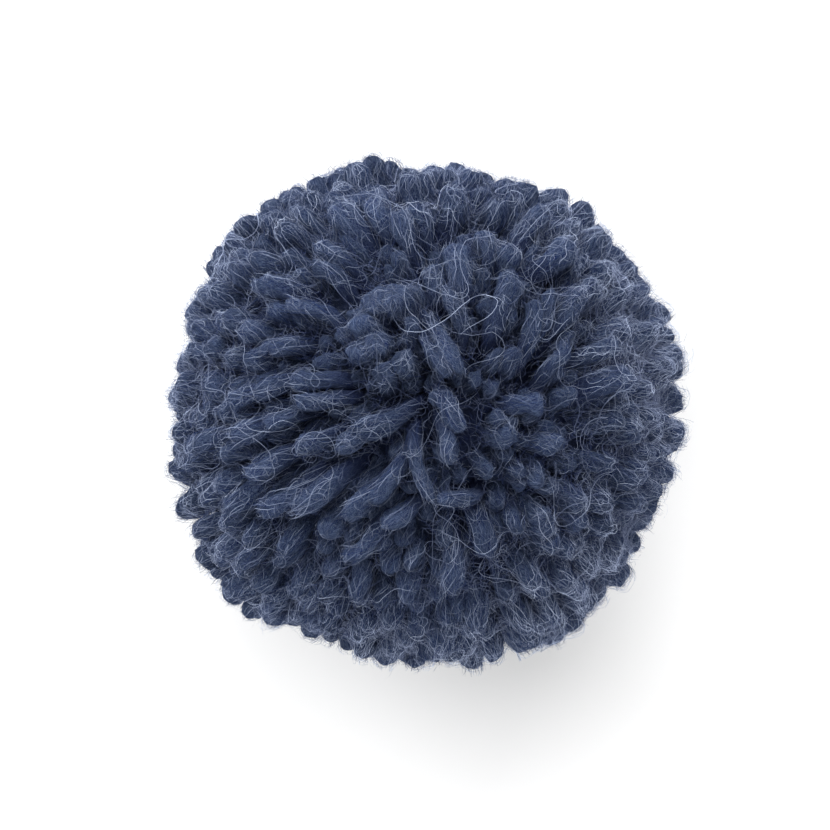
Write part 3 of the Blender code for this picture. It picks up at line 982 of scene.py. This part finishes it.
def gathered_middle(material):
    """A rough ball of packed yarn, with the same numbers at its points as a strand has near its root."""
    shape = bmesh.new()
    bmesh.ops.create_icosphere(shape, subdivisions=5, radius=1.0)
    ways = np.array([vertex.co for vertex in shape.verts])
    waves = waves_over(ways, GATHERED_RADIUS, GATHERED_LUMP)
    for vertex, way, wave in zip(shape.verts, ways, waves):
        vertex.co = MIDDLE + way * (GATHERED_RADIUS + GATHERED_RELIEF * wave[0])
    mesh = bpy.data.meshes.new("gathered_middle")
    shape.to_mesh(mesh)
    shape.free()
    mesh.materials.append(material)
    mesh.polygons.foreach_set("use_smooth", [True] * len(mesh.polygons))
    around = mesh.attributes.new("around", "FLOAT_VECTOR", "POINT")
    around.data.foreach_set("vector", (ways * 3).ravel())
    store_numbers(mesh, "along", waves[:, 1] * 9)
    store_numbers(mesh, "tint", waves[:, 2] + 0.5)
    # Its heights give it the painted shade of a strand's lower part, much of it the deep colour.
    store_numbers(mesh, "height", waves[:, 0] * 0.2 + 0.6)
    return linked("gathered_middle", mesh)


def length_setting(name, description, millimetres):
    return FloatProperty(name=name, description=description, default=millimetres * MM, unit="LENGTH")


def colour_setting(name, description, *shade):
    return FloatVectorProperty(name=name, description=description, default=shade, subtype="COLOR")


def count_setting(name, description, number):
    return IntProperty(name=name, description=description, default=number)


class PomPomYarn(PropertyGroup):
    """Sizes and colours of the yarn and its strands, and the colours of their painted shade."""

    strands: count_setting("Strands", "Yarn ends in the ball", 900)
    thickness: length_setting("Yarn Thickness", "Across one lofty strand", 4.25)
    unevenness: length_setting("Trim Unevenness", "How unevenly the ends are trimmed", 1.0)
    seed: count_setting("Seed", "Another ball of the same yarn", 7)
    body: colour_setting("Yarn", "Main colour of the yarn", 0.0122, 0.0240, 0.0760)
    # Painted shade: the colour given to the hollows between the plies.
    hollow_shade: colour_setting("Hollows", "Colour between the plies", 0.0055, 0.0125, 0.0700)
    # Painted shade: the colour down between the strands and on hairs that lie low in the gaps.
    deep: colour_setting("Depths", "Colour down between the strands", 0.0088, 0.0152, 0.069)
    light: colour_setting("Brushed", "Colour of the brushed surface", 0.112, 0.156, 0.275)
    pale: colour_setting("Hairs", "Colour of the palest hairs", 0.345, 0.405, 0.555)

    def pile(self):
        return pile(self.strands, self.thickness, self.unevenness, self.seed)

    def colours(self):
        return {name: (*getattr(self, name), 1.0) for name in ("body", "hollow_shade", "deep", "light", "pale")}


class PomPomHair(PropertyGroup):
    """Counts and sizes of the fibres, the fuzz and the stray hairs."""

    fibres: count_setting("Fibres", "Fibres along each strand", 51)
    tip_fibres: count_setting("Tip Fibres", "Fibres in each strand's brushed tip", 28)
    fibre_width: length_setting("Fibre Width", "Across a fibre", 0.095)
    short_fuzz: count_setting("Short Fuzz", "Short bent hairs over the pile", 22000)
    fuzz: count_setting("Fuzz", "Curls over the pile", 5600)
    felt: count_setting("Felt", "Matted pale hairs, most of them on the sides", 4800)
    fuzz_width: length_setting("Fuzz Width", "Across a curl", 0.07)
    curls: count_setting("Loose Curls", "Looping hairs over the pile", 900)
    strays: count_setting("Stray Hairs", "Long hairs over the pile", 220)
    stray_width: length_setting("Stray Width", "Across a stray hair", 0.09)


class PomPomStage(PropertyGroup):
    """Camera and lights."""

    distance: length_setting("Camera Distance", "From the camera to the ball's middle", 700)
    light_power: FloatProperty(
        name="Softboxes", description="Power of a plain softbox", default=4.25, unit="POWER"
    )
    sky: FloatProperty(name="Tent", description="Brightness of the light tent", default=0.5)


class YarnStep:
    """A step that builds from the settings of the yarn and the hair."""

    def execute(self, context):
        self.build(context.scene.pompom_yarn, context.scene.pompom_hair)
        return {"FINISHED"}


class POMPOM_OT_middle(YarnStep, Operator):
    """Pack the yarn tight round the bound middle, down between the strands"""

    bl_idname = "pompom.middle"
    bl_label = "Gathered Middle"

    def build(self, yarn, hair):
        seat(gathered_middle(strand_material("gathered_yarn", yarn.colours())))


class POMPOM_OT_strands(YarnStep, Operator):
    """Build the strands of yarn that fan out of the bound middle"""

    bl_idname = "pompom.strands"
    bl_label = "Yarn Strands"

    def build(self, yarn, hair):
        paths, half_thickness, tint = yarn.pile()
        share = np.array(STATIONS)
        closing = np.clip((share - CLOSED_FROM) / (CLOSED_AT - CLOSED_FROM), 0, 1)
        body = share <= CLOSED_AT
        blunt = np.maximum(1 - closing[body] ** 3, 0.005) ** 0.45
        numbers = {
            "radius": half_thickness[:, body] * blunt * PACKED_SHARE,
            "along": lengths_along(paths[:, body]),
            "tint": tint[:, None],
            "height": share[body],
        }
        values = {
            "Sides": TUBE_SIDES,
            "Grooves": 1.3,
            "Lump": 0.80 * MM,
            "Lump Size": 2.6 * MM,
            "Material": strand_material("brushed_yarn", yarn.colours()),
        }
        guide = guide_object("strand_guides", paths[:, body], numbers)
        seat(grown("yarn_strands", guide, strand_tree(), values))


class POMPOM_OT_fibres(YarnStep, Operator):
    """Lay fine fibres along the strands"""

    bl_idname = "pompom.fibres"
    bl_label = "Fibres"

    def build(self, yarn, hair):
        paths, half_thickness, tint = yarn.pile()
        shared = {
            "Width": hair.fibre_width,
            "Stray": 1.1,
            "Turn Rate": 0.10,
            "Seed": yarn.seed,
            "Material": fibre_material("yarn_fibre", yarn.colours(), (-0.05, 0.68), 0.05, draped=False),
        }
        tree = fibre_tree()
        upper = paths[:, -1, 2] > MIDDLE[2]
        for name, kept, fibres, values in (
            ("fibres_above", upper, hair.fibres, FIBRES_ALONG),
            ("fibres_below", ~upper, hair.fibres - FEWER_BELOW, FIBRES_ALONG),
            ("tips_above", upper, hair.tip_fibres, FIBRES_AT_TIPS),
            ("tips_below", ~upper, hair.tip_fibres // 2, FIBRES_AT_TIPS),
        ):
            numbers = {
                "thickness": half_thickness[kept],
                "along": lengths_along(paths[kept]),
                # Painted light: each strand's own tone, paler round the rim.
                "tint": painted_rim_light(unit(paths[kept, -1] - MIDDLE), tint[kept])[:, None],
            }
            guide = guide_object(name + "_guides", paths[kept], numbers)
            seat(grown(name, guide, tree, {"Fibres": fibres, **values, **shared}))


class POMPOM_OT_fuzz(YarnStep, Operator):
    """Curl short fuzz over the pile"""

    bl_idname = "pompom.fuzz"
    bl_label = "Fuzz"

    def build(self, yarn, hair):
        chance = np.random.default_rng(yarn.seed + 100)
        material = fibre_material("curled_fuzz", yarn.colours(), (0.02, 0.80), 0.05)
        for name, count, lie in (
            ("short_fuzz", hair.short_fuzz, SHORT_FUZZ),
            ("curled_fuzz", hair.fuzz, CURLED_FUZZ),
        ):
            starts = scattered(chance, count, fuzziness)
            add_draped_hairs(name, chance, starts, lie, hair.fuzz_width, material)


class POMPOM_OT_felt(YarnStep, Operator):
    """Mat pale, wavy fibre on the pile, most of it on the sides"""

    bl_idname = "pompom.felt"
    bl_label = "Felt"

    def build(self, yarn, hair):
        chance = np.random.default_rng(yarn.seed + 400)
        starts = scattered(chance, hair.felt, felted)
        material = fibre_material("matted_fibre", yarn.colours(), (0.32, 1.50), 0.1)
        add_draped_hairs("matted_felt", chance, starts, MATTED, hair.fuzz_width, material)


class POMPOM_OT_curls(YarnStep, Operator):
    """Lay loose curls over the pile"""

    bl_idname = "pompom.curls"
    bl_label = "Loose Curls"

    def build(self, yarn, hair):
        chance = np.random.default_rng(yarn.seed + 300)
        starts = unit(chance.normal(0, 1, (hair.curls, 3)))
        starts = starts[starts[:, 2] > LOWEST_HAIR]
        material = fibre_material("loose_curl", yarn.colours(), (0.08, 0.70), 0.1)
        add_draped_hairs("loose_curls", chance, starts, LOOSE_CURL, hair.fuzz_width, material)


class POMPOM_OT_strays(YarnStep, Operator):
    """Loop long stray hairs across the pile"""

    bl_idname = "pompom.strays"
    bl_label = "Stray Hairs"

    def build(self, yarn, hair):
        chance = np.random.default_rng(yarn.seed + 200)
        starts = scattered(chance, hair.strays, straying)
        material = fibre_material("stray_hair", yarn.colours(), (0.40, 1.10), 0.1)
        add_draped_hairs("stray_hairs", chance, starts, STRAY_HAIR, hair.stray_width, material)


def make_floor():
    bpy.ops.mesh.primitive_plane_add(size=6.0)
    floor = bpy.context.object
    floor.name = "floor"
    white = {"Base Color": (0.92, 0.92, 0.92, 1.0), "Roughness": 0.9, "Specular IOR Level": 0.1}
    floor.data.materials.append(new_material("floor_white", white)[0])


def make_softbox(name, bearing, from_top, distance, size, power):
    """A square softbox that faces the middle of the ball."""
    light = bpy.data.lights.new(name, "AREA")
    light.shape = "SQUARE"
    light.size = size
    light.energy = power
    box = linked(name, light)
    place = Vector(direction(bearing, from_top)) * distance
    box.location = place + Vector(MIDDLE)
    box.rotation_euler = place.to_track_quat("Z", "Y").to_euler()


def make_camera(distance):
    """A camera straight above the ball, with the ball where the photograph has it."""
    lens = bpy.data.cameras.new("camera")
    lens.sensor_width = 36.0
    lens.lens = lens.sensor_width * distance / (FRAME_WIDTH_PX * PX)
    camera = linked("camera", lens)
    across = (FRAME_WIDTH_PX / 2 - BALL_CENTRE_PX[0]) * PX
    up = (BALL_CENTRE_PX[1] - FRAME_WIDTH_PX / 2) * PX
    camera.location = Vector(MIDDLE) + Vector((across, up, distance))
    bpy.context.scene.camera = camera


def light_tent(brightness):
    """An even white light from all round."""
    world = bpy.data.worlds.new("light_tent")
    world.use_nodes = True
    background = world.node_tree.nodes["Background"]
    background.inputs["Color"].default_value = (1.0, 1.0, 1.0, 1.0)
    background.inputs["Strength"].default_value = brightness
    bpy.context.scene.world = world


class POMPOM_OT_stage(Operator):
    """Set the floor, the soft lights and the camera"""

    bl_idname = "pompom.stage"
    bl_label = "Stage"

    def execute(self, context):
        stage = context.scene.pompom_stage
        make_floor()
        light_tent(stage.sky)
        for name, bearing, from_top, distance, size, share in SOFTBOXES:
            make_softbox("softbox_" + name, bearing, from_top, distance, size, stage.light_power * share)
        make_camera(stage.distance)
        context.scene.view_settings.view_transform = "Standard"
        return {"FINISHED"}


class POMPOM_PT_panel(Panel):
    """Lists the steps in order"""

    bl_label = "Yarn Pom Pom"
    bl_idname = "POMPOM_PT_panel"
    bl_space_type = "VIEW_3D"
    bl_region_type = "UI"
    bl_category = "Pom Pom"

    def draw(self, context):
        for settings in (context.scene.pompom_yarn, context.scene.pompom_hair, context.scene.pompom_stage):
            box = self.layout.box()
            for name in settings.__annotations__:
                box.prop(settings, name)
        for step in STEPS:
            self.layout.operator(step.bl_idname)


SETTINGS = (PomPomYarn, PomPomHair, PomPomStage)
STEPS = (
    POMPOM_OT_middle,
    POMPOM_OT_strands,
    POMPOM_OT_fibres,
    POMPOM_OT_fuzz,
    POMPOM_OT_felt,
    POMPOM_OT_curls,
    POMPOM_OT_strays,
    POMPOM_OT_stage,
)
CLASSES = SETTINGS + STEPS + (POMPOM_PT_panel,)


def register():
    for part in CLASSES:
        bpy.utils.register_class(part)
    bpy.types.Scene.pompom_yarn = PointerProperty(type=PomPomYarn)
    bpy.types.Scene.pompom_hair = PointerProperty(type=PomPomHair)
    bpy.types.Scene.pompom_stage = PointerProperty(type=PomPomStage)


def unregister():
    del bpy.types.Scene.pompom_stage
    del bpy.types.Scene.pompom_hair
    del bpy.types.Scene.pompom_yarn
    for part in reversed(CLASSES):
        bpy.utils.unregister_class(part)


def main():
    """Builds the pom pom and its stage step by step."""
    register()
    bpy.ops.pompom.middle()
    bpy.ops.pompom.strands()
    bpy.ops.pompom.fibres()
    bpy.ops.pompom.fuzz()
    bpy.ops.pompom.felt()
    bpy.ops.pompom.curls()
    bpy.ops.pompom.strays()
    bpy.ops.pompom.stage()


if __name__ == "__main__":
    main()
